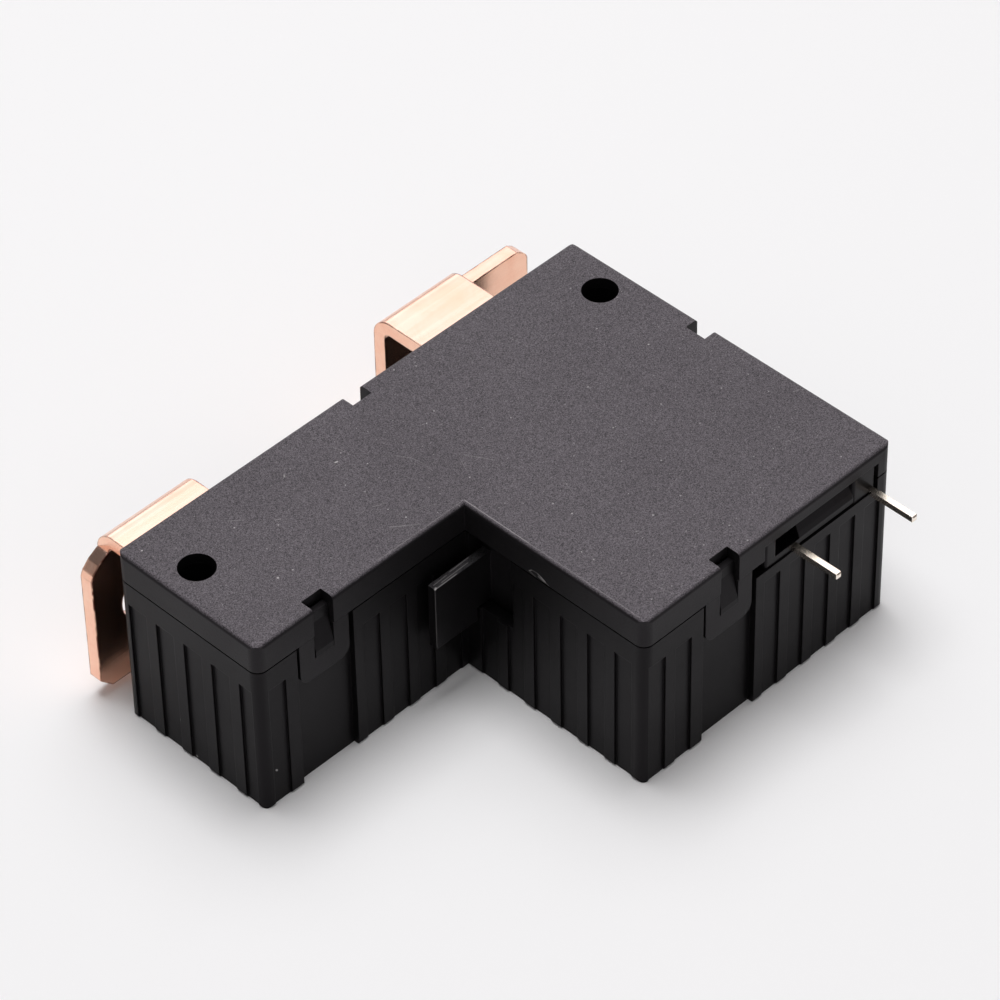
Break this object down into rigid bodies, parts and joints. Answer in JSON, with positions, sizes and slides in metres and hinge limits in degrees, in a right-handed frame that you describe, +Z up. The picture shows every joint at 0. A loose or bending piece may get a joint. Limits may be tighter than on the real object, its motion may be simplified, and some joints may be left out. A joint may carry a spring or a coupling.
{
  "type": "latching relay",
  "caption": "Low L-shaped latching relay with copper screw terminals on one wall, coil pins on the opposite wall and a contact lever in the notch.",
  "frame": {"origin": "centre of the left mounting hole on the base plane, as seen with the terminals at the back", "axes": "+X along the terminal wall from the left to the right mounting hole, +Y out of the terminal wall, +Z up from the base to the cover"},
  "size_m": [0.0607, 0.0543, 0.021],
  "materials": {
    "cover_plastic": "dark grey glass-filled plastic, fine matte texture",
    "case_plastic": "near-black glass-filled plastic, satin",
    "copper": "bright stamped copper",
    "spring_copper": "rolled copper alloy strip",
    "spring_steel": "rolled spring steel strip",
    "contact_silver": "silver alloy, satin",
    "card_plastic": "black plastic, satin",
    "carrier_plastic": "black plastic, satin",
    "bobbin_plastic": "black plastic, satin",
    "iron": "soft iron, nickel flashed",
    "shaft_steel": "ground steel pin",
    "magnet": "nickel-plated sintered magnet",
    "winding_wire": "enamelled copper wire",
    "tape": "insulating tape",
    "tinned_pin": "bright tinned wire"
  },
  "bodies": {
    "housing": {"case": "case_plastic", "cover": "cover_plastic", "fixed_terminal": "copper", "spring_terminal": "copper", "fixed_contact_lower": "contact_silver", "fixed_contact_upper": "contact_silver", "spring_root": "spring_copper", "spring_rivet_left": "spring_copper", "spring_rivet_right": "spring_copper", "armature_shaft": "shaft_steel", "bobbin": "bobbin_plastic", "winding": "winding_wire", "winding_tape": "tape", "core": "iron", "yoke_front": "iron", "yoke_rear": "iron", "coil_pin_left": "tinned_pin", "coil_pin_right": "tinned_pin", "coil_lead_left": "winding_wire", "coil_lead_right": "winding_wire"},
    "armature": {"armature_carrier": "carrier_plastic", "armature_plate_inner": "iron", "armature_plate_outer": "iron", "magnet_front": "magnet", "magnet_rear": "magnet"},
    "pusher": {"pusher_card": "card_plastic"},
    "spring": {"contact_spring": "spring_copper", "backing_spring": "spring_steel", "moving_contact_lower": "contact_silver", "moving_contact_upper": "contact_silver"}
  },
  "joints": [
    {"name": "armature_swing", "type": "hinge", "parent": "housing", "child": "armature", "pos_m": [0.0359, -0.0222, 0.0101], "axis": [0, 0, 1], "range_deg": [0, 12]},
    {"name": "pusher_slide", "type": "slide", "parent": "housing", "child": "pusher", "axis": [0, -1, 0], "range_m": [0, 0.00188]},
    {"name": "spring_flex", "type": "hinge", "parent": "housing", "child": "spring", "pos_m": [0.0351, 0.00049, 0.0106], "axis": [0, 0, 1], "range_deg": [0, 4.38]}
  ],
  "couplings": [
    {"joint": "armature_swing", "follows": "pusher_slide", "rad_per_m": 111.31},
    {"joint": "spring_flex", "follows": "pusher_slide", "rad_per_m": 40.65}
  ]
}
